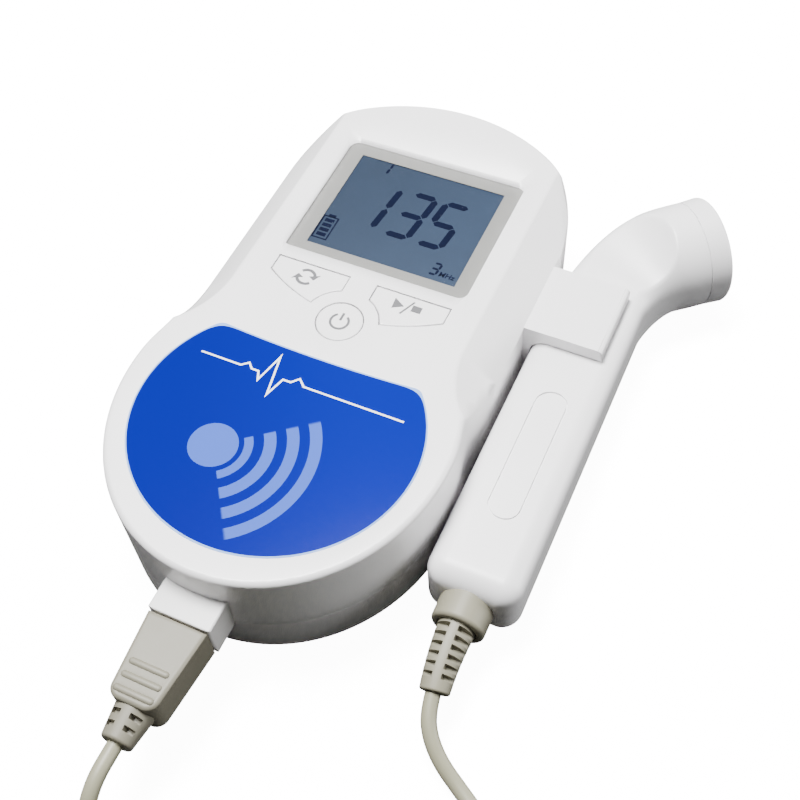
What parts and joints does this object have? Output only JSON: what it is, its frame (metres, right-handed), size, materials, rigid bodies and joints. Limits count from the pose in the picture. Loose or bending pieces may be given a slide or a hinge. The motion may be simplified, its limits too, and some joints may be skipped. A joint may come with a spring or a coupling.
{
  "type": "fetal doppler monitor",
  "caption": "Hand-held heart-rate doppler with a domed console, display, curved keys, a side holder and a bent round-headed probe on a lead with a plug.",
  "frame": {"origin": "middle of the console's flat base, halfway along its length and its width", "axes": "+X from the console towards the probe in its holder, +Y up the console from the lead socket towards the display, +Z out of the console's face"},
  "size_m": [0.1131, 0.2206, 0.029],
  "materials": {
    "white_plastic": "smooth moulded with a light sheen",
    "white_matte": "fine texture",
    "beige_rubber": "satin",
    "label_blue": "printed and varnished",
    "window_clear": "gloss",
    "display_glass": "gloss",
    "backlight_white": "satin",
    "dark_plastic": "satin",
    "board_green": "solder mask",
    "steel": "plated",
    "gold_contact": "plated",
    "cell_jacket": "printed jacket",
    "transducer_face": "satin",
    "crystal": "silvered"
  },
  "bodies": {
    "console": {"front_cover": "white_plastic", "rear_cover": "white_plastic", "probe_holder": "white_plastic", "face_label": "label_blue", "display_window": "window_clear", "display_glass": "display_glass", "display_backlight": "backlight_white", "key_switches": "dark_plastic", "main_board": "board_green", "board_components": "dark_plastic", "case_screws": "steel", "board_screws": "steel", "battery_cells": "cell_jacket", "battery_springs": "steel", "battery_contact_plates": "steel", "loudspeaker": "dark_plastic", "volume_potentiometer": "dark_plastic", "headphone_jack": "dark_plastic", "lead_socket": "white_plastic", "lead_socket_pins": "gold_contact", "socket_ribbon": "white_matte", "lead_cord_probe_side": "beige_rubber", "lead_cord_plug_side": "beige_rubber", "lead_coil": "beige_rubber", "lead_tie": "dark_plastic"},
    "mode_button": {"mode_key": "white_plastic"},
    "power_button": {"power_key": "white_plastic"},
    "start_stop_button": {"start_stop_key": "white_plastic"},
    "battery_cover": {"battery_door": "white_plastic"},
    "volume_control": {"volume_wheel": "dark_plastic"},
    "probe": {"probe_front_shell": "white_plastic", "probe_rear_shell": "white_plastic", "probe_screws": "steel", "probe_head_ring": "white_plastic", "transducer_lens": "transducer_face", "transducer_crystals": "crystal", "transducer_damper": "dark_plastic", "probe_board": "board_green", "probe_wires": "dark_plastic", "probe_boot": "beige_rubber"},
    "plug": {"plug_housing": "beige_rubber", "plug_contacts": "gold_contact", "plug_strain_relief": "beige_rubber"}
  },
  "joints": [
    {"name": "mode_key_press", "type": "slide", "parent": "console", "child": "mode_button", "axis": [0, 0, -1], "range_m": [0, 0.0005], "stiffness_N_per_m": 1500, "springref_m": -0.0003},
    {"name": "power_key_press", "type": "slide", "parent": "console", "child": "power_button", "axis": [0, 0, -1], "range_m": [0, 0.0005], "stiffness_N_per_m": 1500, "springref_m": -0.0003},
    {"name": "start_stop_key_press", "type": "slide", "parent": "console", "child": "start_stop_button", "axis": [0, 0, -1], "range_m": [0, 0.0005], "stiffness_N_per_m": 1500, "springref_m": -0.0003},
    {"name": "battery_door_hinge", "type": "hinge", "parent": "console", "child": "battery_cover", "pos_m": [0, -0.01305, 0.0009], "axis": [1, 0, 0], "range_deg": [0, 100]},
    {"name": "volume_wheel_turn", "type": "hinge", "parent": "console", "child": "volume_control", "pos_m": [-0.0287, 0.0243, 0.0154], "axis": [0, 0, 1], "range_deg": [-135, 135]},
    {"name": "probe_pull", "type": "slide", "parent": "console", "child": "probe", "axis": [1, 0, 0], "range_m": [0, 0.03]},
    {"name": "plug_pull", "type": "slide", "parent": "console", "child": "plug", "axis": [0, -1, 0], "range_m": [0, 0.005]}
  ]
}
